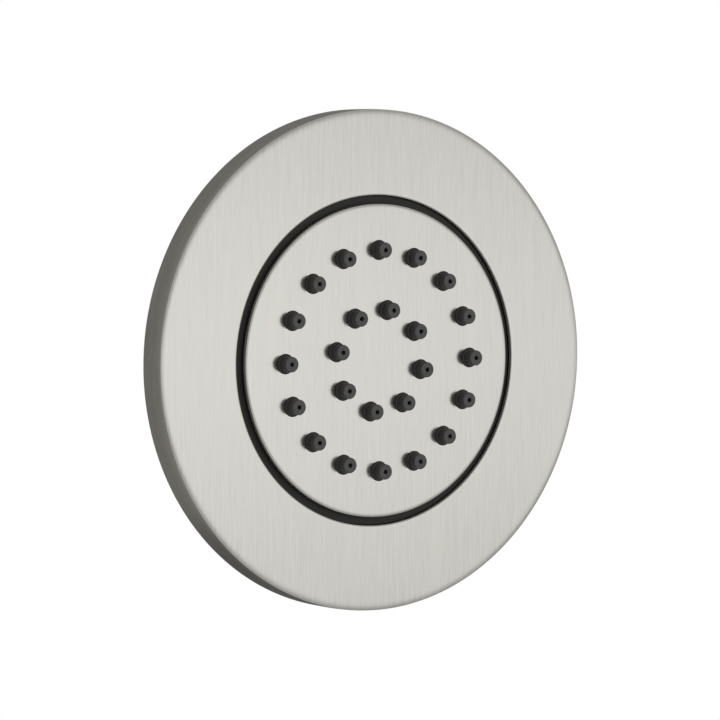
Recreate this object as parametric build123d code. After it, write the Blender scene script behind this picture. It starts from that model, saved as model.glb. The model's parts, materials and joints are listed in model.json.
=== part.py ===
"""Round shower body jet: a wall plate with a ball-jointed spray head, fed from behind.

The frame has +Z up. The wall is the plane Y = 0, the jet looks along -Y and the water comes from +Y.
Turned pieces are drawn as (radius, depth) outlines, where depth is the Y coordinate.
"""

from build123d import *
import math
import os

# Cover plate
PLATE_D = 126.0
PLATE_DEPTH = 8.3
PLATE_WALL = 1.2
PLATE_EDGE = 0.5
OPENING_D = 83.0

# Spray face with its welded studs
FACE_GAP = 2.25
FACE_PROUD = 0.75
FACE_T = 1.2
FACE_EDGE = 0.2
STUD_COUNT = 4
STUD_D = 2.5
STUD_END = 0.6
STUD_CLEAR = 0.1
STUD_NUT_AF = 5.0
STUD_NUT_H = 2.0
STUD_NUT_INSET = 0.2

# Nozzle mat
OUTER_COUNT = 16
OUTER_RING_D = 55.5
INNER_COUNT = 8
INNER_RING_D = 25.8
NOZZLE_H = 3.1
COLLAR_D = 4.85
COLLAR_H = 0.45
BARREL_D = 3.9
JET_D = 1.1
NOZZLE_CLEAR = 0.05
MAT_T = 1.8
MAT_LAND = 1.8
MAT_CLEAR = 0.1

# Head body
BODY_INSET = 0.1
BODY_RIM_W = 5.2
BODY_BACK_T = 2.2
CHAMBER_DEPTH = 3.2
RIB_COUNT = 8
RIB_T = 1.6
RIB_H = 2.5
RIB_GAP = 2.0
SKIRT_GAP = 0.15
SKIRT_DROP = 0.2
SKIRT_T = 1.6

# Ball joint
BALL_D = 16.0
BALL_CLEAR = 0.15
STEM_D = 9.2
WATERWAY_D = 6.4
BALL_MOUTH_D = 9.0
SEAL_BORE_D = 10.8
SEAL_NECK = 1.1
SEAL_CLEAR = 0.1
RING_W = 2.0
RING_T = 1.6
RING_CLEAR = 0.35
RING_ROOM = 4.4
HUB_LIP_T = 1.4
HUB_WALL = 1.9
SOCKET_NUT_WALL = 2.6
SOCKET_NUT_GAP = 1.5
SOCKET_NUT_LIP = 2.0
SOCKET_NUT_SLOTS = 6
SLOT_W = 3.0
SLOT_DEPTH = 1.2
THREAD_CLEAR = 0.1
SEAT_DEG = 40.0
TILT_ROOM = 1.5
FLARE_DEG = 30.0

# Ball nipple and the pieces on its shank
FLANGE_GAP = 4.3
FLANGE_AF = 32.0
FLANGE_T = 4.0
SHANK_D = 24.0
SHANK_CLEAR = 0.15
SHANK_END = 0.4
GASKET_T = 1.5
WASHER_T = 1.5
WASHER_BRIM = 0.8
LOCK_NUT_AF = 34.0
LOCK_NUT_H = 7.0
INLET_D = 20.955
INLET_L = 14.5
INLET_CHAMFER = 1.0

# Inlet filter and flow regulator
POCKET_D = 14.6
FILTER_SEAT_D = 16.4
FILTER_T = 1.6
FILTER_SINK = 0.2
FILTER_SLOTS = 5
FILTER_SLOT_W = 1.0
FILTER_PITCH = 2.0
FILTER_RIM = 2.0
INSERT_CLEAR = 0.1
REGULATOR_T = 5.0
REGULATOR_SLOT_W = 1.6
REGULATOR_SLOT_L = 5.0
GROOVE_W = 1.8
GROOVE_DEPTH = 1.2

# Recess cup and what seats on it
CUP_CLEAR = 1.6
CUP_WALL = 2.0
CUP_FLOOR_T = 2.5
CUP_FLANGE_T = 2.5
CUP_FLANGE_INSET = 1.8
CUP_RIBS = 8
SCREW_COUNT = 4
SCREW_HOLE_D = 4.0
SCREW_EDGE = 3.5
WALL_GASKET_T = 1.5
WALL_GASKET_W = 4.0
WALL_GASKET_CLEAR = 0.2
CLIP_COUNT = 4
CLIP_W = 8.0
CLIP_T = 0.5
CLIP_LEG = 3.0
CLIP_TOP_GAP = 1.0

# Radii
PLATE_R = PLATE_D / 2
PLATE_IN_R = PLATE_R - PLATE_WALL
OPENING_R = OPENING_D / 2
FACE_R = OPENING_R - FACE_GAP
COLLAR_R = COLLAR_D / 2
BODY_R = FACE_R - BODY_INSET
SKIRT_R = OPENING_R - SKIRT_GAP
MAT_SEAT_R = BODY_R - BODY_RIM_W
MAT_R = MAT_SEAT_R - MAT_CLEAR
CHAMBER_R = MAT_R - MAT_LAND
STUD_NUT_R = STUD_NUT_AF / math.sqrt(3)
STUD_RING_R = BODY_R - STUD_NUT_INSET - STUD_NUT_R
BALL_R = BALL_D / 2
SEAT_R = BALL_R + BALL_CLEAR
STEM_R = STEM_D / 2
SEAL_BORE_R = SEAL_BORE_D / 2
RING_R = SEAT_R + RING_W
SOCKET_R = RING_R + RING_CLEAR
SEAL_R = SOCKET_R - SEAL_CLEAR
HUB_R = SOCKET_R + HUB_WALL
SOCKET_NUT_BORE_R = HUB_R + THREAD_CLEAR
SOCKET_NUT_R = SOCKET_NUT_BORE_R + SOCKET_NUT_WALL
SHANK_R = SHANK_D / 2
SHANK_HOLE_R = SHANK_R + SHANK_CLEAR
INLET_R = INLET_D / 2
POCKET_R = POCKET_D / 2
FILTER_SEAT_R = FILTER_SEAT_D / 2
REGULATOR_R = POCKET_R - INSERT_CLEAR
GROOVE_R = REGULATOR_R - GROOVE_DEPTH
CUP_R = OPENING_R + CUP_CLEAR
CUP_OUT_R = CUP_R + CUP_WALL
CUP_FLANGE_R = PLATE_IN_R - CUP_FLANGE_INSET
SCREW_RING_R = CUP_FLANGE_R - SCREW_EDGE
WALL_GASKET_IN_R = CUP_OUT_R + WALL_GASKET_CLEAR
WALL_GASKET_R = WALL_GASKET_IN_R + WALL_GASKET_W

# Depths from the spray face back to the ball
PLATE_FRONT = -PLATE_DEPTH
PLATE_INSIDE = PLATE_FRONT + PLATE_WALL
FACE_FRONT = PLATE_FRONT - FACE_PROUD
FACE_BACK = FACE_FRONT + FACE_T
SKIRT_FRONT = PLATE_INSIDE + SKIRT_DROP
SKIRT_REAR = SKIRT_FRONT + SKIRT_T
COLLAR_TOP = FACE_FRONT - COLLAR_H
NOZZLE_TIP = FACE_FRONT - NOZZLE_H
MAT_BACK = FACE_BACK + MAT_T
CHAMBER_FLOOR = MAT_BACK + CHAMBER_DEPTH
BODY_BACK = CHAMBER_FLOOR + BODY_BACK_T
SEAL_SEAT = CHAMBER_FLOOR + HUB_LIP_T
SEAL_FRONT = SEAL_SEAT + SEAL_CLEAR
SEAL_CONE = SEAL_FRONT + SEAL_NECK
BALL_Y = SEAL_CONE - SEAL_BORE_R + SEAT_R * math.sqrt(2)
SEAL_REAR = BALL_Y - RING_ROOM / 2
SEAL_CONE_R = SEAL_BORE_R + SEAL_REAR - SEAL_CONE
HUB_END = BALL_Y + RING_ROOM / 2

# Depths of the socket nut, whose conical seat holds the ball from behind
SEAT_TAN = math.tan(math.radians(SEAT_DEG))
SEAT_TOUCH_R = SEAT_R * math.cos(math.radians(SEAT_DEG))
SEAT_TOUCH = BALL_Y + SEAT_R * math.sin(math.radians(SEAT_DEG))
SEAT_START_R = SEAT_TOUCH_R + (SEAT_TOUCH - HUB_END) * SEAT_TAN
SEAT_END_R = STEM_R + TILT_ROOM
SEAT_END = SEAT_TOUCH + (SEAT_TOUCH_R - SEAT_END_R) / SEAT_TAN
SOCKET_NUT_FRONT = BODY_BACK + SOCKET_NUT_GAP
SOCKET_NUT_REAR = SEAT_END + SOCKET_NUT_LIP
FLARE_R = SEAT_END_R + SOCKET_NUT_LIP * math.tan(math.radians(FLARE_DEG))

# Depths along the nipple to its inlet
FLANGE_FRONT = SOCKET_NUT_REAR + FLANGE_GAP
FLANGE_REAR = FLANGE_FRONT + FLANGE_T
CUP_FLOOR = FLANGE_REAR + GASKET_T
CUP_REAR = CUP_FLOOR + CUP_FLOOR_T
LOCK_NUT_FRONT = CUP_REAR + WASHER_T
LOCK_NUT_REAR = LOCK_NUT_FRONT + LOCK_NUT_H
SHANK_REAR = LOCK_NUT_REAR + SHANK_END
INLET_REAR = SHANK_REAR + INLET_L
FILTER_REAR = INLET_REAR - FILTER_SINK
FILTER_SEAT = FILTER_REAR - FILTER_T
REGULATOR_SEAT = SHANK_REAR
REGULATOR_REAR = REGULATOR_SEAT + REGULATOR_T
GROOVE_FRONT = (REGULATOR_SEAT + REGULATOR_REAR - GROOVE_W) / 2
GROOVE_REAR = GROOVE_FRONT + GROOVE_W
CUP_FLANGE_REAR = -WALL_GASKET_T
CUP_FLANGE_FRONT = CUP_FLANGE_REAR - CUP_FLANGE_T


def turned(*outline):
    """Solid of revolution about the water axis from straight (radius, depth) outline points."""
    return revolve(make_face(Polyline(*outline, close=True)), Axis.Y)


def ring(inner_r, outer_r, front, rear):
    """Plain ring between two radii and two depths."""
    return turned((inner_r, front), (outer_r, front), (outer_r, rear), (inner_r, rear))


def rod(radius, front, rear, spot=(0.0, 0.0)):
    """Round bar along the water axis at an (x, z) spot."""
    place = Pos(spot[0], front, spot[1]) * Rot(-90, 0, 0)
    return place * Cylinder(radius, rear - front, align=(Align.CENTER, Align.CENTER, Align.MIN))


def hexagon(across_flats, front, rear, spot=(0.0, 0.0)):
    """Hexagonal bar along the water axis at an (x, z) spot."""
    outline = RegularPolygon(across_flats / 2, 6, major_radius=False)
    return Pos(spot[0], front, spot[1]) * Rot(-90, 0, 0) * extrude(outline, rear - front)


def block(x_range, y_range, z_range):
    """Rectangular block between three pairs of limits."""
    low, high = zip(x_range, y_range, z_range)
    size = [b - a for a, b in zip(low, high)]
    return Pos(*low) * Box(*size, align=(Align.MIN, Align.MIN, Align.MIN))


def spoke(solid, angle):
    """The solid, drawn on the +X side, turned about the water axis by an angle in degrees."""
    return Rot(0, angle, 0) * solid


def circle_spots(count, radius, first=0.0):
    """Evenly spaced (x, z) spots on a circle, clockwise from the top as the jet is looked at."""
    angles = [math.radians(first + 360.0 * i / count) for i in range(count)]
    return [(radius * math.sin(a), radius * math.cos(a)) for a in angles]


def nozzle_spots():
    """Spots of all nozzles; the inner ring is turned by half a step of the outer one."""
    outer = circle_spots(OUTER_COUNT, OUTER_RING_D / 2)
    inner = circle_spots(INNER_COUNT, INNER_RING_D / 2, 180.0 / OUTER_COUNT)
    return outer + inner


def stud_spots():
    """Spots of the studs that hold the spray face."""
    return circle_spots(STUD_COUNT, STUD_RING_R, 180.0 / STUD_COUNT)


def cover_plate():
    """Round metal shell that hides the recess: front wall with the opening, and a rim to the wall."""
    return turned(
        (OPENING_R, PLATE_FRONT),
        (PLATE_R - PLATE_EDGE, PLATE_FRONT),
        (PLATE_R, PLATE_FRONT + PLATE_EDGE),
        (PLATE_R, 0),
        (PLATE_IN_R, 0),
        (PLATE_IN_R, PLATE_INSIDE),
        (OPENING_R, PLATE_INSIDE),
    )


def plate_clips():
    """Spring clips pushed over the cup's flange, whose tongues grip the inside of the plate's rim."""
    reach = math.sqrt(PLATE_IN_R**2 - (CLIP_W / 2) ** 2)
    front = CUP_FLANGE_FRONT - CLIP_T
    rear = CUP_FLANGE_REAR + CLIP_T
    width = (-CLIP_W / 2, CLIP_W / 2)
    leg = (CUP_FLANGE_R - CLIP_LEG, CUP_FLANGE_R + CLIP_T)
    clip = block(leg, (front, CUP_FLANGE_FRONT), width)
    clip += block(leg, (CUP_FLANGE_REAR, rear), width)
    clip += block((CUP_FLANGE_R, CUP_FLANGE_R + CLIP_T), (front, rear), width)
    clip += block((CUP_FLANGE_R, reach), (front, CUP_FLANGE_FRONT), width)
    clip += block((reach - CLIP_T, reach), (PLATE_INSIDE + CLIP_TOP_GAP, CUP_FLANGE_FRONT), width)
    return Compound([spoke(clip, 360.0 * i / CLIP_COUNT) for i in range(CLIP_COUNT)])


def recess_cup():
    """Black moulded cup in the wall recess, with a flange screwed to the wall under the plate."""
    cup = turned(
        (CUP_R, PLATE_INSIDE),
        (CUP_OUT_R, PLATE_INSIDE),
        (CUP_OUT_R, CUP_FLANGE_FRONT),
        (CUP_FLANGE_R, CUP_FLANGE_FRONT),
        (CUP_FLANGE_R, CUP_FLANGE_REAR),
        (CUP_OUT_R, CUP_FLANGE_REAR),
        (CUP_OUT_R, CUP_REAR),
        (SHANK_HOLE_R, CUP_REAR),
        (SHANK_HOLE_R, CUP_FLOOR),
        (CUP_R, CUP_FLOOR),
    )
    rib = block(
        (CUP_OUT_R - CUP_WALL / 2, WALL_GASKET_R),
        (PLATE_INSIDE + CLIP_TOP_GAP, CUP_FLANGE_FRONT),
        (-CUP_WALL / 2, CUP_WALL / 2),
    )
    cup += [spoke(rib, 360.0 * (i + 0.5) / CUP_RIBS) for i in range(CUP_RIBS)]
    spots = circle_spots(SCREW_COUNT, SCREW_RING_R, 180.0 / SCREW_COUNT)
    return cup - [rod(SCREW_HOLE_D / 2, CUP_FLANGE_FRONT, CUP_FLANGE_REAR, spot) for spot in spots]


def wall_gasket():
    """Flat rubber ring between the cup's flange and the wall."""
    return ring(WALL_GASKET_IN_R, WALL_GASKET_R, CUP_FLANGE_REAR, 0)


def ball_nipple():
    """Turned brass nipple: hollow ball, stem, hexagon flange, shank and threaded inlet."""
    mouth = BALL_Y - math.sqrt(BALL_R**2 - (BALL_MOUTH_D / 2) ** 2)
    neck = BALL_Y + math.sqrt(BALL_R**2 - STEM_R**2)
    ball = ThreePointArc((BALL_MOUTH_D / 2, mouth), (BALL_R, BALL_Y), (STEM_R, neck))
    rest = Polyline(
        (STEM_R, neck),
        (STEM_R, FLANGE_REAR),
        (SHANK_R, FLANGE_REAR),
        (SHANK_R, SHANK_REAR),
        (INLET_R, SHANK_REAR),
        (INLET_R, INLET_REAR - INLET_CHAMFER),
        (INLET_R - INLET_CHAMFER, INLET_REAR),
        (FILTER_SEAT_R, INLET_REAR),
        (FILTER_SEAT_R, FILTER_SEAT),
        (POCKET_R, FILTER_SEAT),
        (POCKET_R, REGULATOR_SEAT),
        (WATERWAY_D / 2, REGULATOR_SEAT),
        (WATERWAY_D / 2, mouth),
        (BALL_MOUTH_D / 2, mouth),
    )
    nipple = revolve(make_face([ball, *rest.edges()]), Axis.Y)
    flange = hexagon(FLANGE_AF, FLANGE_FRONT, FLANGE_REAR) - rod(STEM_R, FLANGE_FRONT, FLANGE_REAR)
    return nipple + flange


def nipple_gasket():
    """Rubber ring that seals the nipple's flange on the cup's floor."""
    return ring(SHANK_HOLE_R, FLANGE_AF / 2, FLANGE_REAR, CUP_FLOOR)


def lock_washer():
    """Flat washer between the cup and the lock nut, a little wider than the nut's corners."""
    return ring(SHANK_HOLE_R, LOCK_NUT_AF / math.sqrt(3) + WASHER_BRIM, CUP_REAR, LOCK_NUT_FRONT)


def lock_nut():
    """Hexagon nut on the shank that clamps the cup to the nipple."""
    blank = hexagon(LOCK_NUT_AF, LOCK_NUT_FRONT, LOCK_NUT_REAR)
    return blank - rod(SHANK_R + THREAD_CLEAR, LOCK_NUT_FRONT, LOCK_NUT_REAR)


def flow_regulator():
    """Grooved round insert with a cross-shaped orifice at the bottom of the inlet's pocket."""
    insert = turned(
        (0, REGULATOR_SEAT),
        (REGULATOR_R, REGULATOR_SEAT),
        (REGULATOR_R, GROOVE_FRONT),
        (GROOVE_R, GROOVE_FRONT),
        (GROOVE_R, GROOVE_REAR),
        (REGULATOR_R, GROOVE_REAR),
        (REGULATOR_R, REGULATOR_REAR),
        (0, REGULATOR_REAR),
    )
    depth = (REGULATOR_SEAT, REGULATOR_REAR)
    long_side = (-REGULATOR_SLOT_L / 2, REGULATOR_SLOT_L / 2)
    short_side = (-REGULATOR_SLOT_W / 2, REGULATOR_SLOT_W / 2)
    return insert - [block(long_side, depth, short_side), block(short_side, depth, long_side)]


def regulator_ring():
    """Rubber ring in the regulator's groove, against the wall of the pocket."""
    return ring(GROOVE_R, POCKET_R, GROOVE_FRONT, GROOVE_REAR)


def inlet_filter():
    """Slotted strainer disc seated at the mouth of the inlet."""
    radius = FILTER_SEAT_R - INSERT_CLEAR
    disc = rod(radius, FILTER_SEAT, FILTER_REAR)
    slots = []
    for i in range(FILTER_SLOTS):
        middle = (i - (FILTER_SLOTS - 1) / 2) * FILTER_PITCH
        half = math.sqrt((radius - FILTER_RIM) ** 2 - middle**2)
        across = (middle - FILTER_SLOT_W / 2, middle + FILTER_SLOT_W / 2)
        slots.append(block((-half, half), (FILTER_SEAT, FILTER_REAR), across))
    return disc - slots


def ball_ring():
    """Friction ring around the ball's equator, loose in the hub."""
    return ring(SEAT_R, RING_R, BALL_Y - RING_T / 2, BALL_Y + RING_T / 2)


def ball_seal():
    """Rubber seat with a conical face that the front of the ball seals on."""
    return turned(
        (SEAL_BORE_R, SEAL_FRONT),
        (SEAL_R, SEAL_FRONT),
        (SEAL_R, SEAL_REAR),
        (SEAL_CONE_R, SEAL_REAR),
        (SEAL_BORE_R, SEAL_CONE),
    )


def spray_face():
    """Brushed disc with a hole for each nozzle and studs welded to its back."""
    disc = turned(
        (0, FACE_FRONT),
        (FACE_R - FACE_EDGE, FACE_FRONT),
        (FACE_R, FACE_FRONT + FACE_EDGE),
        (FACE_R, FACE_BACK),
        (0, FACE_BACK),
    )
    hole_r = COLLAR_R + NOZZLE_CLEAR
    disc -= [rod(hole_r, FACE_FRONT, FACE_BACK, spot) for spot in nozzle_spots()]
    stud_rear = BODY_BACK + STUD_NUT_H + STUD_END
    return disc + [rod(STUD_D / 2, FACE_BACK, stud_rear, spot) for spot in stud_spots()]


def nozzle_mat():
    """One-piece silicone mat whose nozzles stand out through the spray face."""
    mat = rod(MAT_R, FACE_BACK, MAT_BACK)
    mat += [rod(COLLAR_R, COLLAR_TOP, FACE_BACK, spot) for spot in nozzle_spots()]
    mat += [rod(BARREL_D / 2, NOZZLE_TIP, COLLAR_TOP, spot) for spot in nozzle_spots()]
    return mat - [rod(JET_D / 2, NOZZLE_TIP, MAT_BACK, spot) for spot in nozzle_spots()]


def head_body():
    """Black moulded back of the head: rim with a skirt in the opening, water chamber, threaded hub."""
    body = turned(
        (MAT_SEAT_R, FACE_BACK),
        (BODY_R, FACE_BACK),
        (BODY_R, SKIRT_FRONT),
        (SKIRT_R, SKIRT_FRONT),
        (SKIRT_R, SKIRT_REAR),
        (BODY_R, SKIRT_REAR + SKIRT_R - BODY_R),
        (BODY_R, BODY_BACK),
        (HUB_R, BODY_BACK),
        (HUB_R, HUB_END),
        (SOCKET_R, HUB_END),
        (SOCKET_R, SEAL_SEAT),
        (SEAL_BORE_R, SEAL_SEAT),
        (SEAL_BORE_R, CHAMBER_FLOOR),
        (CHAMBER_R, CHAMBER_FLOOR),
        (CHAMBER_R, MAT_BACK),
        (MAT_SEAT_R, MAT_BACK),
    )
    rib = block(
        (SOCKET_NUT_R + RIB_GAP, MAT_SEAT_R),
        (BODY_BACK, BODY_BACK + RIB_H),
        (-RIB_T / 2, RIB_T / 2),
    )
    body += [spoke(rib, 360.0 * (i + 0.5) / RIB_COUNT) for i in range(RIB_COUNT)]
    hole_r = STUD_D / 2 + STUD_CLEAR
    return body - [rod(hole_r, FACE_BACK, BODY_BACK, spot) for spot in stud_spots()]


def face_nuts():
    """Small nuts that pull the spray face and the mat onto the head body."""
    rear = BODY_BACK + STUD_NUT_H
    hole_r = STUD_D / 2 + STUD_CLEAR
    nuts = []
    for spot in stud_spots():
        nuts.append(hexagon(STUD_NUT_AF, BODY_BACK, rear, spot) - rod(hole_r, BODY_BACK, rear, spot))
    return Compound(nuts)


def socket_nut():
    """Slotted ring nut on the hub whose conical seat keeps the ball in."""
    nut = turned(
        (SOCKET_NUT_BORE_R, SOCKET_NUT_FRONT),
        (SOCKET_NUT_R, SOCKET_NUT_FRONT),
        (SOCKET_NUT_R, SOCKET_NUT_REAR),
        (FLARE_R, SOCKET_NUT_REAR),
        (SEAT_END_R, SEAT_END),
        (SEAT_START_R, HUB_END),
        (SOCKET_NUT_BORE_R, HUB_END),
    )
    slot = block(
        (SOCKET_NUT_R - SLOT_DEPTH, SOCKET_NUT_R),
        (HUB_END, SOCKET_NUT_REAR),
        (-SLOT_W / 2, SLOT_W / 2),
    )
    return nut - [spoke(slot, 360.0 * i / SOCKET_NUT_SLOTS) for i in range(SOCKET_NUT_SLOTS)]


PIECES = [
    cover_plate,
    plate_clips,
    recess_cup,
    wall_gasket,
    ball_nipple,
    nipple_gasket,
    lock_washer,
    lock_nut,
    flow_regulator,
    regulator_ring,
    inlet_filter,
    ball_ring,
    ball_seal,
    spray_face,
    nozzle_mat,
    head_body,
    face_nuts,
    socket_nut,
]

os.makedirs("parts", exist_ok=True)
for piece in PIECES:
    export_step(piece(), f"parts/{piece.__name__}.step")
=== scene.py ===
"""Looks of a round shower body jet: brushed metal, silicone nozzles, seals, brass inlet and a plain stage.

Everything is in metres in the frame of the solids: +Z up, the wall at Y = 0, the jet looking along -Y.
The water axis is the Y axis, so an outline is a list of (radius, depth) with depth along Y.
"""

import json
import math

import bmesh
import bpy
from bpy.props import FloatProperty, FloatVectorProperty, PointerProperty
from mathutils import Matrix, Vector


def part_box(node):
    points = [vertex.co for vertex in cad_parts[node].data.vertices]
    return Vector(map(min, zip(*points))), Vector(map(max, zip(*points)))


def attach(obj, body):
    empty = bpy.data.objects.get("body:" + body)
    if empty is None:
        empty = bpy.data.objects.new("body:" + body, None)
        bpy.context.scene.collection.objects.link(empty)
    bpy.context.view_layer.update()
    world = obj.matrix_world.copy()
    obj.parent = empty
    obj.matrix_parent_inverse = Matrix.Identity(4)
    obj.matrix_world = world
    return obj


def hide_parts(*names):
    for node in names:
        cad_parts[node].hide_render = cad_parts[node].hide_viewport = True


bl_info = {
    "name": "Shower body jet",
    "version": (1, 0, 0),
    "blender": (4, 5, 0),
    "location": "View3D > Sidebar > Body jet",
    "description": "Dresses the solids of a round shower body jet and lights them on a plain stage",
    "category": "Object",
}

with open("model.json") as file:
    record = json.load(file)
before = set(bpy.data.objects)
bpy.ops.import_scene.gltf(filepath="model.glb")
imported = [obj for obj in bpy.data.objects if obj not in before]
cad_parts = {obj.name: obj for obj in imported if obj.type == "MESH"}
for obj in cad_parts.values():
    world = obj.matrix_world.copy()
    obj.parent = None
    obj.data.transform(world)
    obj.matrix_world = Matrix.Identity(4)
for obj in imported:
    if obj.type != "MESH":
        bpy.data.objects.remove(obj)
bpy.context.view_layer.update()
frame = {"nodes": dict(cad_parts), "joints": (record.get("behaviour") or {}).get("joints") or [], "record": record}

MM = 0.001
SAME = 0.002 * MM

# Fineness of the turned meshes
PLATE_SEGMENTS = 256
NUT_SEGMENTS = 144
NOZZLE_SEGMENTS = 40
STUD_SEGMENTS = 24
ARC_STEPS = 5
SOFT_STEPS = 15
CROWN_STEPS = 4
BALL_STEPS = 24
THREAD_STEPS = 12
SMOOTH_ANGLE = math.radians(34.0)

# An arc has the power 2, and the soft edges of plate and disc stay closer to their corner
ARC_POWER = 2.0
EDGE_POWER = 3.0
OPENING_RUN = 3.0

# Widest end of a nozzle or stud, and the room around its middle
END_WIDTH = 5.0 * MM
END_REACH = 3.0 * MM

# Turns over which the thread runs in and out, and the steepness and root of its flanks
THREAD_RUN_IN = 0.4
THREAD_RUN_OUT = 0.1
FLANK_STEEPNESS = 1.4
FLANK_ROOT = 0.2

# Width and length of the brushed lines: on the faces across X and along Z, on the sides round the axis
BRUSH_RADIUS = 62.0 * MM
SWAY_LENGTH = 18.0 * MM
SWAY_WIDTH = 0.8 * MM
HAIR_WIDTH, HAIR_LENGTH = 0.3 * MM, 7.0 * MM
STROKE_WIDTH, STROKE_LENGTH = 0.75 * MM, 18.0 * MM
STREAK_WIDTH, STREAK_LENGTH = 5.0 * MM, 40.0 * MM
BAND_WIDTH, BAND_LENGTH = 0.3 * MM, 14.0 * MM
PATCH_WIDTH, PATCH_LENGTH = 9.0 * MM, 30.0 * MM

# Radii between which sides are the brushed rim or the plain cut edges of opening and disc
RIM_RADIUS = 50.0 * MM
CUT_RADIUS = 45.0 * MM

# Place and size of the soft panels
PANELS = (
    ("front_panel", (0.25, -1.2, 0.15), (1.5, 1.3)),
    ("overhead_panel", (-0.25, 0.55, 0.95), (0.9, 0.9)),
    ("back_panel", (0.0, 1.3, 0.4), (2.6, 1.6)),
)

# Bright field that the plate mirrors, with a core and a level strip
FIELD_AIM = (0.484, -0.873, -0.05)
FIELD_FADE = (0.68, 0.95)
FIELD_LIGHT = 0.39
CORE_LIGHT = 0.64
CORE_FADE = (0.42, -0.1)
STRIP_LIGHT = 0.54
STRIP_FADE = (0.09, -0.01)
STRIP_DROP = 0.05

# Dim room around the field: lighter ahead of the jet and beside it, darker in a low corner
UPWARD = (0.0, 0.0, 1.0)
FORWARD = (0.0, -1.0, 0.0)
AHEAD_LIGHT = 0.46
AHEAD_FADE = (-0.15, 0.65)
BESIDE_LIGHT = 0.25
BESIDE_RISE = (-0.82, -0.69)
BESIDE_FALL = (-0.25, -0.55)
CORNER_AIM = (0.5, 0.3, -0.812)
CORNER_SHADE = 0.09
CORNER_FADE = (0.58, 0.78)
ROOM_TINT = (1.0, 0.968, 0.922, 1.0)
WHITE = (1.0, 1.0, 1.0, 1.0)

# Round floor that turns white towards its border
FLOOR_SEGMENTS = 96
FLOOR_RADIUS = 0.6
FLOOR_HEIGHT = -0.2
FLOOR_WHITE = 0.4
FLOOR_FADE = (0.3, 0.58)

SENSOR_WIDTH = 36.0
CLIP_START = 0.01


# Measures read from the solids


def span(node):
    """Front and rear depth of a solid."""
    low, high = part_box(node)
    return low.y, high.y


def rings(node, about=(0.0, 0.0), reach=1.0):
    """Radius and depth of each point of a solid that lies within reach of a line along Y."""
    found = []
    for vertex in frame["nodes"][node].data.vertices:
        radius = math.hypot(vertex.co.x - about[0], vertex.co.z - about[1])
        if radius < reach:
            found.append((radius, vertex.co.y))
    return found


def widest(node):
    """Largest radius of a solid."""
    return max(rings(node))[0]


def distinct(values):
    """Sorted values with near duplicates left out."""
    kept = []
    for value in sorted(values):
        if not kept or value - kept[-1] > SAME:
            kept.append(value)
    return kept


def radii_at(node, depth, about=(0.0, 0.0), reach=1.0):
    """Radii at which a solid has points at one depth, from the smallest."""
    return distinct(radius for radius, y in rings(node, about, reach) if abs(y - depth) < SAME)


def depths_at(node, radius, about=(0.0, 0.0), reach=1.0):
    """Depths at which a solid has points at one radius, from the front."""
    return distinct(y for r, y in rings(node, about, reach) if abs(r - radius) < SAME)


def spots_at(node, depth):
    """Centres (x, z) of the small round ends that a solid has at one depth."""
    groups = []
    for vertex in frame["nodes"][node].data.vertices:
        if abs(vertex.co.y - depth) > SAME:
            continue
        near = [group for group in groups if (group[0] - vertex.co).length < END_WIDTH]
        if near:
            near[0].append(vertex.co)
        else:
            groups.append([vertex.co])
    centres = []
    for group in groups:
        across = [point.x for point in group]
        upward = [point.z for point in group]
        centres.append(((min(across) + max(across)) / 2, (min(upward) + max(upward)) / 2))
    return centres


# Meshes turned about lines along Y


def rounded(corners):
    """Outline through corners (radius, depth, reach), each turned over its reach.

    A soft corner also has its reach on the next side and the power of its curve; a plain one is an arc.
    """
    outline = []
    for index, (radius, depth, reach, *soft) in enumerate(corners):
        here = Vector((radius, depth))
        if not reach:
            outline.append(tuple(here))
            continue
        next_reach, power = soft or (reach, ARC_POWER)
        before = (Vector(corners[index - 1][:2]) - here).normalized() * reach
        after = (Vector(corners[(index + 1) % len(corners)][:2]) - here).normalized() * next_reach
        for along, down in quarter(power):
            outline.append(tuple(here + before * (1.0 - along) + after * (1.0 - down)))
    return outline


def quarter(power):
    """Points from (0, 1) to (1, 0) on a curve whose coordinates, raised to a power, add up to 1."""
    steps = ARC_STEPS if power == ARC_POWER else SOFT_STEPS
    points = [(0.0, 1.0)]
    for step in range(1, steps):
        slope = math.tan(math.pi / 2 * step / steps)
        ratio = slope ** (1.0 / (power - 1.0))
        down = (1.0 + ratio**power) ** (-1.0 / power)
        points.append((ratio * down, down))
    return points + [(1.0, 0.0)]


def at_angle(measure, angle):
    """A measure that is the same all round, or a function of the angle."""
    return measure(angle) if callable(measure) else measure


def ring_of(mesh, radius, depth, segments, about):
    """Vertices of one ring about a line along Y."""
    vertices = []
    for index in range(segments):
        angle = math.tau * index / segments
        reach = at_angle(radius, angle)
        across = about[0] + reach * math.cos(angle)
        upward = about[1] + reach * math.sin(angle)
        vertices.append(mesh.verts.new((across, at_angle(depth, angle), upward)))
    return vertices


def join_rings(mesh, first, second):
    """Quads between two rings of equal count."""
    for index in range(len(first)):
        other = (index + 1) % len(first)
        mesh.faces.new((first[index], first[other], second[other], second[index]))


def spin(mesh, outline, segments, about=(0.0, 0.0), closed=False):
    """Turns an outline about a line along Y and returns its rings."""
    turned = [ring_of(mesh, radius, depth, segments, about) for radius, depth in outline]
    for first, second in zip(turned, turned[1:]):
        join_rings(mesh, first, second)
    if closed:
        join_rings(mesh, turned[-1], turned[0])
    return turned


def fill_flat(mesh, borders):
    """Triangles over a flat region between an outer ring and the rings of its holes."""
    edges = []
    for border in borders:
        for index in range(len(border)):
            edges.append(mesh.edges.get((border[index - 1], border[index])))
    bmesh.ops.triangle_fill(mesh, edges=edges, use_beauty=True)


def hexagon(across):
    """Radius of a hexagon, two corners on the X axis, as a function of the angle."""
    def radius(angle):
        from_flat = (angle % (math.pi / 3)) - math.pi / 6
        return across / 2 / math.cos(from_flat)
    return radius


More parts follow.
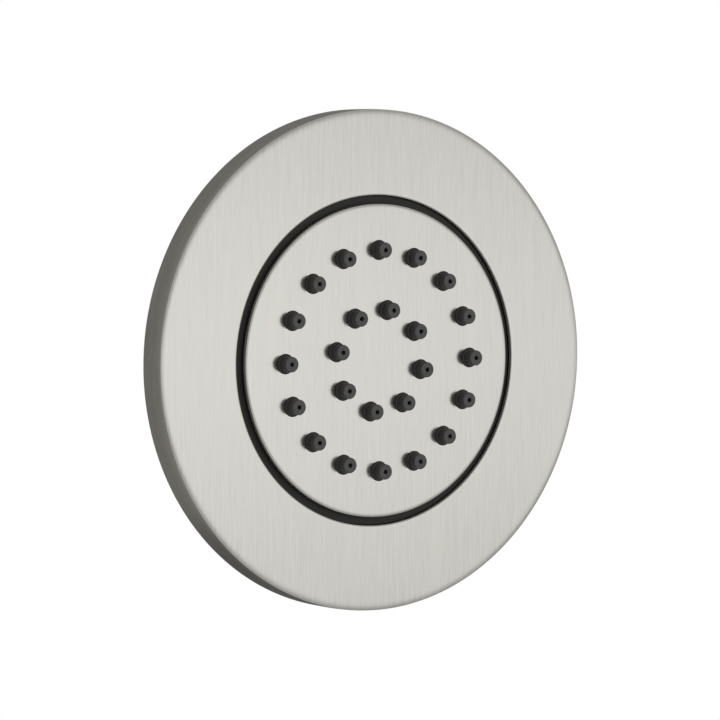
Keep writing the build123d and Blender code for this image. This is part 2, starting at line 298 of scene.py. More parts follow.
def chamfered_hexagon(across, front, rear, slope):
    """Rings of a hexagon whose corners are turned off to the flats on both ends."""
    radius = hexagon(across)
    fall = math.tan(slope)
    return [
        (across / 2, front),
        (radius, lambda angle: front + (radius(angle) - across / 2) * fall),
        (radius, lambda angle: rear - (radius(angle) - across / 2) * fall),
        (across / 2, rear),
    ]


def piece_from(mesh, name, node, body, finish):
    """Closes a mesh into the object that stands for a solid."""
    bmesh.ops.recalc_face_normals(mesh, faces=mesh.faces)
    data = bpy.data.meshes.new(name)
    mesh.to_mesh(data)
    mesh.free()
    data.shade_smooth()
    data.set_sharp_from_angle(angle=SMOOTH_ANGLE)
    data.materials.append(finish)
    piece = bpy.data.objects.new(name, data)
    bpy.context.scene.collection.objects.link(piece)
    even = piece.modifiers.new("flat_faces", "WEIGHTED_NORMAL")
    even.keep_sharp = True
    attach(piece, body)
    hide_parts(node)


def dress(node, finish):
    """Gives a solid that is shown as it is its finish."""
    materials = frame["nodes"][node].data.materials
    materials.clear()
    materials.append(finish)


# Finishes


class Value:
    """A socket of a node tree; arithmetic on it adds Math nodes."""

    def __init__(self, nodes, socket):
        self.nodes = nodes
        self.socket = socket

    def math(self, operation, *values):
        """A Math node on this value and others."""
        return self.combine(operation, self, *values)

    def combine(self, operation, *values):
        """A Math node on values in the order given."""
        return self.nodes.add("ShaderNodeMath", {"operation": operation}, dict(enumerate(values)))

    def named(self, output):
        """Another output of the same node."""
        return Value(self.nodes, self.socket.node.outputs[output])

    def __add__(self, other):
        return self.combine("ADD", self, other)

    def __radd__(self, other):
        return self.combine("ADD", other, self)

    def __sub__(self, other):
        return self.combine("SUBTRACT", self, other)

    def __rsub__(self, other):
        return self.combine("SUBTRACT", other, self)

    def __mul__(self, other):
        return self.combine("MULTIPLY", self, other)

    def __rmul__(self, other):
        return self.combine("MULTIPLY", other, self)

    def __truediv__(self, other):
        return self.combine("DIVIDE", self, other)

    def __rtruediv__(self, other):
        return self.combine("DIVIDE", other, self)

    def __abs__(self):
        return self.combine("ABSOLUTE", self)


class Nodes:
    """A node tree under way."""

    def __init__(self, tree):
        self.tree = tree
        self.tree.nodes.clear()

    def add(self, kind, settings, sockets, output=0):
        """Adds a node, makes its settings, feeds its sockets and returns one of its outputs."""
        node = self.tree.nodes.new(kind)
        for name, setting in settings.items():
            setattr(node, name, setting)
        for name, value in sockets.items():
            if isinstance(value, Value):
                self.tree.links.new(value.socket, node.inputs[name])
            else:
                node.inputs[name].default_value = value
        return Value(self, node.outputs[output] if len(node.outputs) else None)

    def place(self):
        """The three coordinates of a point on the object, in metres."""
        coordinates = self.add("ShaderNodeTexCoord", {}, {}, "Object")
        across = self.add("ShaderNodeSeparateXYZ", {}, {0: coordinates})
        return across, across.named("Y"), across.named("Z")

    def side(self):
        """0 where a surface looks along the water axis and 1 where it looks away from the axis."""
        normal = self.add("ShaderNodeTexCoord", {}, {}, "Normal")
        forward = abs(self.add("ShaderNodeSeparateXYZ", {}, {0: normal}, "Y"))
        return self.ramp(forward, 0.85, 0.55)

    def ramp(self, value, low, high):
        """A smooth rise of a value from 0 at low to 1 at high."""
        settings = {"interpolation_type": "SMOOTHSTEP"}
        return self.add("ShaderNodeMapRange", settings, {"Value": value, "From Min": low, "From Max": high})

    def towards(self, direction, aim):
        """How far a direction points towards an aim, from -1 to 1."""
        settings = {"operation": "DOT_PRODUCT"}
        return self.add("ShaderNodeVectorMath", settings, {0: direction, 1: aim}, "Value")

    def noise(self, x, y, z, detail=2.0, roughness=0.5):
        """Noise about 0.5 whose grain is one unit of each coordinate."""
        vector = self.add("ShaderNodeCombineXYZ", {}, {0: x, 1: y, 2: z})
        sockets = {"Vector": vector, "Scale": 1.0, "Detail": detail, "Roughness": roughness}
        return self.add("ShaderNodeTexNoise", {}, sockets)

    def speckle(self, place, size, detail=2.0, roughness=0.5):
        """Noise about 0.5 with grains of one size in millimetres."""
        x, y, z = (coordinate / (size * MM) for coordinate in place)
        return self.noise(x, y, z, detail, roughness)

    def blend(self, share, first, second):
        """A colour between two others."""
        return self.add("ShaderNodeMix", {"data_type": "RGBA"}, {0: share, 6: first, 7: second}, 2)

    def bump(self, height, depth):
        """A normal that follows a height of 0 to 1 over a depth in millimetres."""
        sockets = {"Strength": 1.0, "Distance": depth * MM, "Height": height}
        return self.add("ShaderNodeBump", {}, sockets)


def finished(name, build):
    """A material whose shader sockets come from a function of its nodes and the chosen colours."""
    material = bpy.data.materials.get(name)
    if material:
        return material
    material = bpy.data.materials.new(name)
    material.use_nodes = True
    nodes = Nodes(material.node_tree)
    sockets = build(nodes, bpy.context.scene.body_jet.finishes)
    shader = nodes.add("ShaderNodeBsdfPrincipled", {}, sockets)
    nodes.add("ShaderNodeOutputMaterial", {}, {"Surface": shader})
    return material


def brushed_nickel():
    """Nickel brushed upward on its faces and round the axis on its sides, with plain cut edges."""
    def build(nodes, looks):
        x, y, z = nodes.place()
        side = nodes.side()
        radius = (x * x + z * z).math("SQRT")
        around = z.math("ARCTAN2", x) * BRUSH_RADIUS
        cut = side * nodes.ramp(radius, RIM_RADIUS, CUT_RADIUS)
        sway = nodes.noise(x / SWAY_LENGTH, 1.0, z / SWAY_LENGTH, detail=1.0)
        across = x + (sway - 0.5) * SWAY_WIDTH
        hair = nodes.noise(across / HAIR_WIDTH, 0.0, z / HAIR_LENGTH, roughness=0.6)
        stroke = nodes.noise(across / STROKE_WIDTH, 3.0, z / STROKE_LENGTH, roughness=0.55)
        streak = nodes.noise(across / STREAK_WIDTH, 7.0, z / STREAK_LENGTH)
        band = nodes.noise(around / BAND_LENGTH, y / BAND_WIDTH, 5.0, roughness=0.6)
        patch = nodes.noise(around / PATCH_LENGTH, y / PATCH_WIDTH, 9.0, detail=1.0)
        face = hair * 0.55 + stroke * 0.45
        grain = face * (1.0 - side) + band * side
        drift = streak * (1.0 - side) + patch * side
        tone = (grain - 0.5) * looks.brush_contrast + 0.5
        metal = nodes.blend(tone, looks.nickel_dark, looks.nickel_light)
        warm = nodes.ramp(drift, 0.52, 0.75) * 0.5
        cool = nodes.ramp(drift, 0.48, 0.25) * 0.5
        metal = nodes.blend(warm, metal, looks.nickel_warm)
        metal = nodes.blend(cool, metal, looks.nickel_cool)
        return {
            "Base Color": metal,
            "Metallic": 1.0,
            "Roughness": 0.22 + (grain - 0.5) * 0.14 + cut * 0.4,
            "Normal": nodes.bump(grain, 0.004),
        }

    return finished("brushed_nickel_finish", build)


def black_moulding():
    """Black plastic with the fine matt grain of its mould."""
    def build(nodes, looks):
        place = nodes.place()
        grain = nodes.speckle(place, 0.25, detail=3.0, roughness=0.6)
        cloud = nodes.speckle(place, 14.0)
        return {
            "Base Color": nodes.blend(grain * 0.5 + cloud * 0.5, looks.plastic_dark, looks.plastic_light),
            "Roughness": 0.55 + (cloud - 0.5) * 0.16,
            "Specular IOR Level": 0.15,
            "Normal": nodes.bump(grain, 0.02),
        }

    return finished("black_moulding_finish", build)


def black_silicone():
    """Soft black silicone with a dull skin, and painted shade that darkens each nozzle towards the disc, so it is
    palest at its tip.
    """
    def build(nodes, looks):
        place = nodes.place()
        grain = nodes.speckle(place, 0.18)
        bloom = nodes.speckle(place, 2.2)
        skin = nodes.blend(bloom, looks.silicone_dark, looks.silicone_light)
        # Painted shade: the colour darkens from the nozzles' tips down to where they leave the disc.
        painted_base_shade = nodes.ramp(place[1], span("spray_face")[0], span("nozzle_mat")[0])
        return {
            "Base Color": nodes.blend(painted_base_shade, looks.silicone_base_shade, skin),
            "Roughness": 0.5 + (bloom - 0.5) * 0.2,
            "Specular IOR Level": 0.2,
            "Normal": nodes.bump(grain, 0.008),
        }

    return finished("black_silicone_finish", build)


def black_rubber():
    """Matt rubber of the seals and gaskets."""
    def build(nodes, looks):
        place = nodes.place()
        grain = nodes.speckle(place, 0.35, detail=3.0, roughness=0.6)
        dust = nodes.speckle(place, 5.0)
        return {
            "Base Color": nodes.blend(dust, looks.rubber_dark, looks.rubber_light),
            "Roughness": 0.72 + (grain - 0.5) * 0.2,
            "Normal": nodes.bump(grain, 0.03),
        }

    return finished("black_rubber_finish", build)


def turned_brass():
    """Brass with the fine rings of the lathe."""
    groove_width = 0.14 * MM

    def build(nodes, looks):
        x, y, z = nodes.place()
        side = nodes.side()
        radius = (x * x + z * z).math("SQRT")
        groove = nodes.noise(radius / groove_width, 0.0, 4.0, roughness=0.6)
        ring = nodes.noise(y / groove_width, 0.0, 8.0, roughness=0.6)
        tarnish = nodes.speckle((x, y, z), 6.0, detail=3.0, roughness=0.55)
        lathe = groove * (1.0 - side) + ring * side
        return {
            "Base Color": nodes.blend(lathe * 0.4 + tarnish * 0.6, looks.brass_dark, looks.brass_light),
            "Metallic": 1.0,
            "Roughness": 0.26 + (tarnish - 0.5) * 0.2,
            "Normal": nodes.bump(lathe, 0.006),
        }

    return finished("turned_brass_finish", build)


def spring_steel():
    """Pale steel strip with a rolled grain."""
    grain_width, grain_length = 0.2 * MM, 4.0 * MM

    def build(nodes, looks):
        x, y, z = nodes.place()
        rolled = nodes.noise(x / grain_width, y / grain_length, z / grain_length, roughness=0.6)
        bloom = nodes.speckle((x, y, z), 3.0)
        return {
            "Base Color": nodes.blend(rolled * 0.4 + bloom * 0.6, looks.steel_dark, looks.steel_light),
            "Metallic": 1.0,
            "Roughness": 0.34 + (bloom - 0.5) * 0.2,
            "Normal": nodes.bump(rolled, 0.005),
        }

    return finished("spring_steel_finish", build)


def white_moulding():
    """Milky white plastic of the inserts."""
    def build(nodes, looks):
        place = nodes.place()
        grain = nodes.speckle(place, 0.3)
        cloud = nodes.speckle(place, 4.0)
        return {
            "Base Color": nodes.blend(cloud, looks.insert_dark, looks.insert_light),
            "Roughness": 0.4 + (cloud - 0.5) * 0.16,
            "Normal": nodes.bump(grain, 0.012),
        }

    return finished("white_moulding_finish", build)


# Settings


def length(name, description, default):
    """A setting of some millimetres."""
    return FloatProperty(
        name=name, description=description, default=default * MM, min=0.0, precision=5, unit="LENGTH"
    )


def angle(name, description, default):
    """A setting of some degrees."""
    return FloatProperty(
        name=name, description=description, default=math.radians(default), subtype="ANGLE"
    )


def brightness(name, description, default):
    """A setting of a light's strength."""
    return FloatProperty(name=name, description=description, default=default, min=0.0)


def colour(name, description, default):
    """A colour setting."""
    return FloatVectorProperty(
        name=name, description=description, default=(*default, 1.0), size=4, min=0.0, max=1.0, subtype="COLOR"
    )


class BodyJetSizes(bpy.types.PropertyGroup):
    """Small sizes that the solids leave out."""

    plate_fade: length("Plate fade", "Width over which the plate's face turns down to its edge", 2.2)
    plate_crown: length("Plate crown", "How far the rim draws in towards the face", 0.14)
    crown_depth: length("Crown depth", "Depth over which the rim draws in", 4.0)
    plate_edge: length("Plate edge", "Rounding of the rim where it meets the face", 0.3)
    plate_opening: length("Plate opening", "Rounding of the opening's front edge", 0.22)
    plate_rim: length("Plate rim", "Rounding of the rim that meets the wall", 0.15)
    plate_bend: length("Plate bend", "Rounding inside the plate, where its rim turns back", 0.6)
    face_fade: length("Disc fade", "Width over which the spray disc's face turns down to its edge", 0.9)
    face_edge: length("Disc edge", "Rounding of the disc's rim where it meets the face", 0.3)
    face_hole: length("Disc holes", "Rounding of the nozzle holes' front edges", 0.08)
    collar_round: length("Nozzle collar", "Rounding of a nozzle's collar", 0.42)
    foot_round: length("Nozzle foot", "Hollow where a nozzle's barrel meets its collar", 0.05)
    tip_round: length("Nozzle tip", "Rounding of a nozzle's tip", 0.32)
    jet_round: length("Nozzle jet", "Rounding of the jet's mouth", 0.16)
    stem_round: length("Ball stem", "Hollow where the ball's stem meets its flange", 0.6)
    nut_chamfer: length("Nut chamfer", "Chamfer of the lock nut's bore", 0.6)
    thread_pitch: length("Thread pitch", "Pitch of the inlet's pipe thread", 1.814)
    thread_depth: length("Thread depth", "Depth of the inlet's pipe thread", 1.162)
    hexagon_slope: angle("Hexagon chamfer", "Slope at which the hexagons' corners are turned off", 30.0)


class BodyJetFinishes(bpy.types.PropertyGroup):
    """Colours of the metals, plastics and rubbers."""

    nickel_light: colour("Nickel, light", "Brushed nickel on the crests of its lines", (0.76, 0.75, 0.71))
    nickel_dark: colour("Nickel, dark", "Brushed nickel in its lines", (0.60, 0.59, 0.552))
    nickel_warm: colour("Nickel, warm", "Warmer streaks of the nickel", (0.73, 0.705, 0.645))
    nickel_cool: colour("Nickel, cool", "Cooler streaks of the nickel", (0.69, 0.695, 0.67))
    brush_contrast: FloatProperty(
        name="Brush contrast",
        description="How much the brushed lines stand out",
        default=2.5,
        min=0.0,
        max=3.0,
    )
    plastic_light: colour("Black plastic, light", "Mouldings on their grain", (0.036, 0.035, 0.034))
    plastic_dark: colour("Black plastic, dark", "Mouldings between their grain", (0.022, 0.022, 0.022))
    silicone_light: colour("Silicone, light", "Tips where the skin is dull", (0.088, 0.087, 0.087))
    silicone_dark: colour("Silicone, dark", "Tips where the skin is smooth", (0.066, 0.065, 0.065))
    # The silicone's base colour is painted shade, a darker tone of the nozzles where they leave the disc.
    silicone_base_shade: colour("Silicone, base", "Nozzles where they leave the disc", (0.044, 0.0435, 0.0435))
    rubber_light: colour("Rubber, light", "Seals where dust clings", (0.038, 0.037, 0.036))
    rubber_dark: colour("Rubber, dark", "Seals where they are clean", (0.018, 0.018, 0.018))
    brass_light: colour("Brass, light", "Bright brass", (0.80, 0.62, 0.32))
    brass_dark: colour("Brass, dark", "Brass that has dulled", (0.60, 0.43, 0.18))
    steel_light: colour("Steel, light", "Bright steel strip", (0.62, 0.62, 0.63))
    steel_dark: colour("Steel, dark", "Dulled steel strip", (0.44, 0.44, 0.45))
    insert_light: colour("White plastic, light", "Inserts, thick", (0.80, 0.80, 0.77))
    insert_dark: colour("White plastic, dark", "Inserts, thin", (0.70, 0.70, 0.67))


class BodyJetStage(bpy.types.PropertyGroup):
    """Camera, light and floor."""

    turn: angle("Camera turn", "Turn of the camera from straight ahead", -33.627)
    rise: angle("Camera rise", "Rise of the camera over the water axis", 3.098)
    distance: length("Camera distance", "From the camera to the point it looks at", 890.12)
    aim: FloatVectorProperty(
        name="Camera aim",
        description="Point that the camera looks at",
        default=(-5.25 * MM, -8.3 * MM, 0.31 * MM),
        unit="LENGTH",
    )
    lens: FloatProperty(
        name="Lens",
        description="Focal length in millimetres",
        default=178.095,
        min=1.0,
        unit="CAMERA",
    )
    front_panel: brightness("Front panel", "Brightness of the soft panel in front", 1.95)
    overhead_panel: brightness("Overhead panel", "Brightness of the soft panel overhead", 0.8)
    back_panel: brightness("Back panel", "Brightness of the soft panel behind", 1.3)
    room: brightness("Room", "Brightness of the dim room around", 0.178)
    floor: colour("Floor", "Pale floor below the jet", (0.80, 0.80, 0.79))


class BodyJetSettings(bpy.types.PropertyGroup):
    """All settings of the body jet."""

    sizes: PointerProperty(type=BodyJetSizes)
    finishes: PointerProperty(type=BodyJetFinishes)
    stage: PointerProperty(type=BodyJetStage)


# Pieces


class BODYJET_OT_cover_plate(bpy.types.Operator):
    """Turn the cover plate with its rounded edges"""

    bl_idname = "bodyjet.cover_plate"
    bl_label = "Cover plate"

    def execute(self, context):
        sizes = context.scene.body_jet.sizes
        front, rear = span("cover_plate")
        opening = radii_at("cover_plate", front)[0]
        inner, outer = radii_at("cover_plate", rear)
        inside = front + outer - inner
        outline = rounded([
            (opening, front, sizes.plate_opening, OPENING_RUN * sizes.plate_opening, EDGE_POWER),
            (outer - sizes.plate_crown, front, sizes.plate_fade, sizes.plate_edge, EDGE_POWER),
            *self.crown(outer, front, sizes),
            (outer, rear, sizes.plate_rim),
            (inner, rear, sizes.plate_rim),
            (inner, inside, sizes.plate_bend),
            (opening, inside, sizes.plate_rim),
        ])
        mesh = bmesh.new()
        spin(mesh, outline, PLATE_SEGMENTS, closed=True)
        piece_from(mesh, "cover_plate_turned", "cover_plate", "wall_unit", brushed_nickel())
        return {"FINISHED"}

    def crown(self, outer, front, sizes):
        """Points of the rim, from the face to where it is no longer drawn in."""
        points = []
        for step in range(1, CROWN_STEPS + 1):
            share = step / CROWN_STEPS
            radius = outer - sizes.plate_crown * (1.0 - share) ** 2
            points.append((radius, front + sizes.crown_depth * share, 0.0))
        return points


class BODYJET_OT_spray_face(bpy.types.Operator):
    """Drill the spray disc for its nozzles and set its studs"""

    bl_idname = "bodyjet.spray_face"
    bl_label = "Spray disc"

    def execute(self, context):
        sizes = context.scene.body_jet.sizes
        front, stud_end = span("spray_face")
        edge = widest("spray_face")
        flat = edge - 2 * sizes.face_fade
        back = depths_at("spray_face", edge)[-1]
        nozzles = spots_at("nozzle_mat", span("nozzle_mat")[0])
        studs = spots_at("spray_face", stud_end)
        hole = radii_at("spray_face", front, nozzles[0], END_REACH)[0]
        stud = radii_at("spray_face", stud_end, studs[0], END_REACH)[-1]
        rim = rounded([
            (flat, front, 0.0),
            (edge, front, sizes.face_fade, sizes.face_edge, EDGE_POWER),
            (edge, back, sizes.face_hole),
            (flat, back, 0.0),
        ])
        bore = rounded([
            (hole + 2 * sizes.face_hole, front, 0.0),
            (hole, front, sizes.face_hole),
            (hole, back, 0.0),
        ])
        pin = rounded([(stud, back, 0.0), (stud, stud_end, sizes.face_edge), (0.0, stud_end, 0.0)])
        mesh = bmesh.new()
        disc = spin(mesh, rim, PLATE_SEGMENTS)
        bores = [spin(mesh, bore, NOZZLE_SEGMENTS, about=spot) for spot in nozzles]
        pins = [spin(mesh, pin[:-1], STUD_SEGMENTS, about=spot) for spot in studs]
        for turned in pins:
            mesh.faces.new(turned[-1])
        fill_flat(mesh, [disc[0]] + [turned[0] for turned in bores])
        fill_flat(mesh, [disc[-1]] + [turned[-1] for turned in bores] + [turned[0] for turned in pins])
        piece_from(mesh, "spray_face_drilled", "spray_face", "spray_head", brushed_nickel())
        return {"FINISHED"}


class BODYJET_OT_nozzle_mat(bpy.types.Operator):
    """Mould the nozzle mat with its collared, open nozzles"""

    bl_idname = "bodyjet.nozzle_mat"
    bl_label = "Nozzle mat"

    def execute(self, context):
        sizes = context.scene.body_jet.sizes
        tip = span("nozzle_mat")[0]
        edge = widest("nozzle_mat")
        front, back = depths_at("nozzle_mat", edge)
        nozzles = spots_at("nozzle_mat", tip)
        jet, barrel = radii_at("nozzle_mat", tip, nozzles[0], END_REACH)
        collar = radii_at("nozzle_mat", front, nozzles[0], END_REACH)[-1]
        shoulder = depths_at("nozzle_mat", collar, nozzles[0], END_REACH)[0]
        nozzle = rounded([
            (collar, front, 0.0),
            (collar, shoulder, sizes.collar_round),
            (barrel, shoulder, sizes.foot_round),
            (barrel, tip, sizes.tip_round),
            (jet, tip, sizes.jet_round),
            (jet, back, 0.0),
        ])
        mesh = bmesh.new()
        turned = [spin(mesh, [(edge, front), (edge, back)], PLATE_SEGMENTS)]
        turned += [spin(mesh, nozzle, NOZZLE_SEGMENTS, about=spot) for spot in nozzles]
        fill_flat(mesh, [outline[0] for outline in turned])
        fill_flat(mesh, [outline[-1] for outline in turned])
        piece_from(mesh, "nozzle_mat_moulded", "nozzle_mat", "spray_head", black_silicone())
        return {"FINISHED"}


class BODYJET_OT_ball_nipple(bpy.types.Operator):
    """Turn the ball nipple and cut its hexagon and pipe thread"""

    bl_idname = "bodyjet.ball_nipple"
    bl_label = "Ball nipple"

    def execute(self, context):
        sizes = context.scene.body_jet.sizes
        mouth, end = span("ball_nipple")
        flange_rear = span("nipple_gasket")[0]
        shoulder = span("flow_regulator")[0]
        seat = span("inlet_filter")[0]
        waterway, mouth_edge = radii_at("ball_nipple", mouth)
        shank = radii_at("ball_nipple", flange_rear)[0]
        pocket, filter_seat = radii_at("ball_nipple", seat)
        mounts = frame["record"]["mounts"]
        crest = next(mount["dims"]["r_mm"] for mount in mounts if mount["name"] == "inlet_thread") * MM
        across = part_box("ball_nipple")[1].z * 2
        flange_front = depths_at("ball_nipple", across / math.sqrt(3.0))[0]
        stem = radii_at("ball_nipple", flange_front)[0]
        outline = [(waterway, mouth)]
        outline += self.ball(mouth, mouth_edge, stem)
        outline += rounded([
            (stem, outline[-1][1] + MM, 0.0),
            (stem, flange_front, sizes.stem_round),
            (across / 2, flange_front, 0.0),
        ])[:-1]
        outline += chamfered_hexagon(across, flange_front, flange_rear, sizes.hexagon_slope)
        outline += [(shank, flange_rear), (shank, shoulder)]
        outline += self.thread(crest, shoulder, end, sizes)
        outline += [(filter_seat, end), (filter_seat, seat)]
        outline += [(pocket, seat), (pocket, shoulder), (waterway, shoulder)]
        mesh = bmesh.new()
        spin(mesh, outline, NUT_SEGMENTS, closed=True)
        piece_from(mesh, "ball_nipple_threaded", "ball_nipple", "wall_unit", turned_brass())
        return {"FINISHED"}

    def ball(self, mouth, mouth_edge, stem):
        """Points of the ball from the edge of its mouth to its stem."""
        middle = frame["joints"][0]["pos_m"][1]
        radius = math.hypot(mouth_edge, mouth - middle)
        first = math.atan2(mouth_edge, mouth - middle)
        last = math.atan2(stem, math.sqrt(radius * radius - stem * stem))
        points = []
        for step in range(BALL_STEPS + 1):
            turn = first + (last - first) * step / BALL_STEPS
            points.append((radius * math.sin(turn), middle + radius * math.cos(turn)))
        return points

    def thread(self, crest, start, end, sizes):
        """Rings of the inlet's thread, running out at both ends."""
        pitch = sizes.thread_pitch
        root = crest - sizes.thread_depth
        count = int((end - start) / pitch * THREAD_STEPS)
        found = [(root, start)]
        for index in range(1, count):
            depth = start + (end - start) * index / count
            run_in = (depth - start) / pitch - THREAD_RUN_IN
            run_out = (end - depth) / pitch + THREAD_RUN_OUT
            height = sizes.thread_depth * max(0.0, min(1.0, run_in, run_out))
            found.append((self.flank(root, height, depth / pitch), depth))
        return found + [(root, end)]

    def flank(self, root, height, turns):
        """Radius of one ring of the thread as a function of the angle."""
        def radius(angle):
            wave = abs(((turns - angle / math.tau) % 1.0) * 2.0 - 1.0)
            return root + height * min(1.0, max(0.0, wave * FLANK_STEEPNESS - FLANK_ROOT))
        return radius


class BODYJET_OT_lock_nut(bpy.types.Operator):
    """Cut the lock nut with turned-off corners and finish its washer"""

    bl_idname = "bodyjet.lock_nut"
    bl_label = "Lock nut and washer"

    def execute(self, context):
        sizes = context.scene.body_jet.sizes
        chamfer = sizes.nut_chamfer
        front, rear = span("lock_nut")
        bore = radii_at("lock_nut", front)[0]
        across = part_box("lock_nut")[1].z * 2
        outline = [(bore + chamfer, front)]
        outline += chamfered_hexagon(across, front, rear, sizes.hexagon_slope)
        outline += [(bore + chamfer, rear), (bore, rear - chamfer), (bore, front + chamfer)]
        mesh = bmesh.new()
        spin(mesh, outline, NUT_SEGMENTS, closed=True)
        piece_from(mesh, "lock_nut_chamfered", "lock_nut", "wall_unit", turned_brass())
        dress("lock_washer", spring_steel())
        return {"FINISHED"}


class BODYJET_OT_mouldings(bpy.types.Operator):
    """Finish the recess cup, the head's body and the socket nut"""

    bl_idname = "bodyjet.mouldings"
    bl_label = "Black mouldings"

    def execute(self, context):
        for node in ("recess_cup", "head_body", "socket_nut"):
            dress(node, black_moulding())
        return {"FINISHED"}


class BODYJET_OT_seals(bpy.types.Operator):
    """Finish the gaskets, the ball's seal and the regulator's ring"""

    bl_idname = "bodyjet.seals"
    bl_label = "Seals and gaskets"

    def execute(self, context):
        for node in ("wall_gasket", "nipple_gasket", "ball_seal", "regulator_ring"):
            dress(node, black_rubber())
        return {"FINISHED"}


class BODYJET_OT_inserts(bpy.types.Operator):
    """Finish the filter, the flow regulator and the ball's ring"""

    bl_idname = "bodyjet.inserts"
    bl_label = "White inserts"

    def execute(self, context):
        for node in ("inlet_filter", "flow_regulator", "ball_ring"):
            dress(node, white_moulding())
        return {"FINISHED"}


class BODYJET_OT_steel(bpy.types.Operator):
    """Finish the plate's spring clips and the disc's nuts"""

    bl_idname = "bodyjet.steel"
    bl_label = "Clips and nuts"

    def execute(self, context):
        for node in ("plate_clips", "face_nuts"):
            dress(node, spring_steel())
        return {"FINISHED"}


# Stage


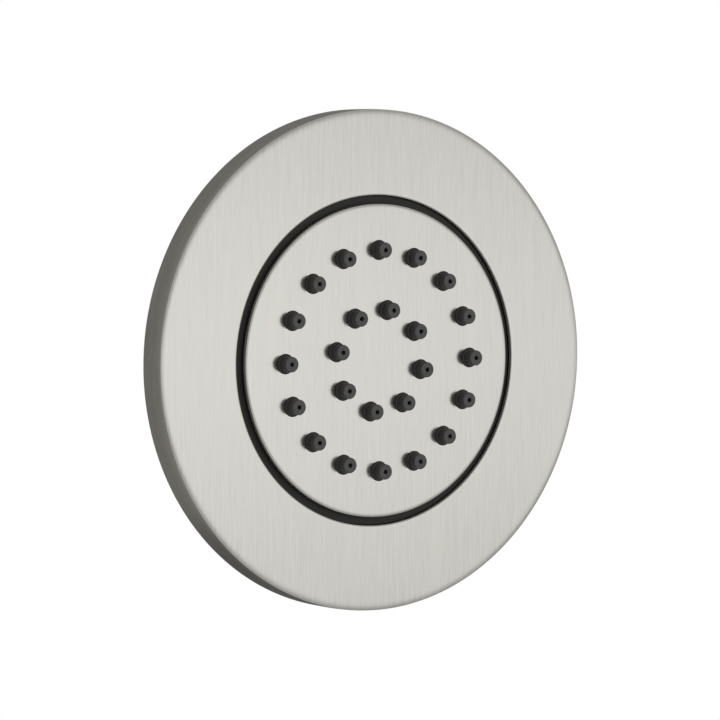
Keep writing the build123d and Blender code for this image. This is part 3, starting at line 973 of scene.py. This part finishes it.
class BODYJET_OT_stage(bpy.types.Operator):
    """Set the camera, the soft light, the floor and the white background"""

    bl_idname = "bodyjet.stage"
    bl_label = "Stage"

    def execute(self, context):
        scene = context.scene
        stage = scene.body_jet.stage
        scene.view_settings.view_transform = "Standard"
        self.set_camera(scene, stage)
        for name, place, size in PANELS:
            self.add_panel(scene, name, place, size, getattr(stage, name))
        self.set_world(scene, stage)
        self.lay_floor(scene, stage)
        return {"FINISHED"}

    def set_camera(self, scene, stage):
        """Place the camera in front, turned to the jet's side and raised a little."""
        back = Vector((
            math.sin(stage.turn) * math.cos(stage.rise),
            -math.cos(stage.turn) * math.cos(stage.rise),
            math.sin(stage.rise),
        ))
        data = bpy.data.cameras.new("camera")
        data.sensor_width = SENSOR_WIDTH
        data.lens = stage.lens
        data.clip_start = CLIP_START
        camera = bpy.data.objects.new("camera", data)
        camera.location = Vector(stage.aim) + back * stage.distance
        camera.rotation_euler = back.to_track_quat("Z", "Y").to_euler()
        scene.collection.objects.link(camera)
        scene.camera = camera

    def add_panel(self, scene, name, place, size, strength):
        """Hang a soft panel that looks at the jet and isn't mirrored by it."""
        data = bpy.data.lights.new(name, "AREA")
        data.shape = "RECTANGLE"
        data.size, data.size_y = size
        data.energy = strength * math.pi * size[0] * size[1]
        panel = bpy.data.objects.new(name, data)
        panel.location = place
        panel.rotation_euler = Vector(place).to_track_quat("Z", "Y").to_euler()
        panel.visible_camera = False
        panel.visible_glossy = False
        scene.collection.objects.link(panel)

    def set_world(self, scene, stage):
        """Surround the jet with white to look at, a bright field to mirror and a dim room."""
        world = bpy.data.worlds.new("studio")
        world.use_nodes = True
        scene.world = world
        nodes = Nodes(world.node_tree)
        direction = nodes.add("ShaderNodeTexCoord", {}, {}, "Generated")
        path = nodes.add("ShaderNodeLightPath", {}, {}, "Is Camera Ray")
        straight = path + path.named("Is Transmission Ray")
        glossy = path.named("Is Glossy Ray")

        facing = nodes.towards(direction, FIELD_AIM)
        aside = (1.0 - facing * facing).math("SQRT")
        height = abs(nodes.towards(direction, UPWARD) + STRIP_DROP)
        core = CORE_LIGHT * nodes.ramp(aside, *CORE_FADE)
        strip = STRIP_LIGHT * nodes.ramp(height, *STRIP_FADE)
        shine = straight + (1.0 - straight) * (FIELD_LIGHT + core + strip)
        field = nodes.add("ShaderNodeBackground", {}, {"Color": WHITE, "Strength": shine})

        forward = nodes.towards(direction, FORWARD)
        ahead = nodes.ramp(forward, *AHEAD_FADE)
        beside = nodes.ramp(forward, *BESIDE_RISE) * nodes.ramp(forward, *BESIDE_FALL)
        corner = nodes.ramp(nodes.towards(direction, CORNER_AIM), *CORNER_FADE)
        mirrored = AHEAD_LIGHT * ahead + BESIDE_LIGHT * beside - CORNER_SHADE * corner
        dim = stage.room + glossy * mirrored
        room = nodes.add("ShaderNodeBackground", {}, {"Color": ROOM_TINT, "Strength": dim})

        shown = (straight + glossy * nodes.ramp(facing, *FIELD_FADE)).math("MINIMUM", 1.0)
        surround = nodes.add("ShaderNodeMixShader", {}, {0: shown, 1: room, 2: field})
        nodes.add("ShaderNodeOutputWorld", {}, {"Surface": surround})

    def lay_floor(self, scene, stage):
        """Lay a round floor below the jet."""
        mesh = bmesh.new()
        border = []
        for index in range(FLOOR_SEGMENTS):
            turn = math.tau * index / FLOOR_SEGMENTS
            place = (FLOOR_RADIUS * math.cos(turn), FLOOR_RADIUS * math.sin(turn), FLOOR_HEIGHT)
            border.append(mesh.verts.new(place))
        mesh.faces.new(border)
        data = bpy.data.meshes.new("floor")
        mesh.to_mesh(data)
        mesh.free()
        floor = bpy.data.objects.new("floor", data)
        scene.collection.objects.link(floor)
        data.materials.append(self.floor_finish(stage))
        floor.visible_glossy = False

    def floor_finish(self, stage):
        """Pale paint that fades into the white background."""
        material = bpy.data.materials.new("pale_floor")
        material.use_nodes = True
        nodes = Nodes(material.node_tree)
        x, y = nodes.place()[:2]
        radius = (x * x + y * y).math("SQRT")
        fade = FLOOR_WHITE + (1.0 - FLOOR_WHITE) * nodes.ramp(radius, *FLOOR_FADE)
        seen = nodes.add("ShaderNodeLightPath", {}, {}, "Is Camera Ray")
        paint = nodes.add("ShaderNodeBsdfDiffuse", {}, {"Color": stage.floor})
        white = nodes.add("ShaderNodeEmission", {}, {"Color": WHITE, "Strength": 1.0})
        surface = nodes.add("ShaderNodeMixShader", {}, {0: fade * seen, 1: paint, 2: white})
        nodes.add("ShaderNodeOutputMaterial", {}, {"Surface": surface})
        return material


class BODYJET_PT_panel(bpy.types.Panel):
    """Lists the settings and the pieces of the body jet"""

    bl_idname = "BODYJET_PT_panel"
    bl_label = "Shower body jet"
    bl_space_type = "VIEW_3D"
    bl_region_type = "UI"
    bl_category = "Body jet"

    def draw(self, context):
        settings = context.scene.body_jet
        for group in (settings.sizes, settings.finishes, settings.stage):
            box = self.layout.box()
            for name in group.__annotations__:
                box.prop(group, name)
        for operator in OPERATORS:
            self.layout.operator(operator.bl_idname)


OPERATORS = (
    BODYJET_OT_stage,
    BODYJET_OT_cover_plate,
    BODYJET_OT_spray_face,
    BODYJET_OT_nozzle_mat,
    BODYJET_OT_ball_nipple,
    BODYJET_OT_lock_nut,
    BODYJET_OT_mouldings,
    BODYJET_OT_seals,
    BODYJET_OT_inserts,
    BODYJET_OT_steel,
)
GROUPS = (BodyJetSizes, BodyJetFinishes, BodyJetStage, BodyJetSettings)


def register():
    for kind in GROUPS + OPERATORS + (BODYJET_PT_panel,):
        bpy.utils.register_class(kind)
    bpy.types.Scene.body_jet = PointerProperty(type=BodyJetSettings)


def unregister():
    del bpy.types.Scene.body_jet
    for kind in reversed(GROUPS + OPERATORS + (BODYJET_PT_panel,)):
        bpy.utils.unregister_class(kind)


def main():
    register()
    bpy.ops.bodyjet.stage()
    bpy.ops.bodyjet.cover_plate()
    bpy.ops.bodyjet.spray_face()
    bpy.ops.bodyjet.nozzle_mat()
    bpy.ops.bodyjet.ball_nipple()
    bpy.ops.bodyjet.lock_nut()
    bpy.ops.bodyjet.mouldings()
    bpy.ops.bodyjet.seals()
    bpy.ops.bodyjet.inserts()
    bpy.ops.bodyjet.steel()


if __name__ == "__main__":
    main()
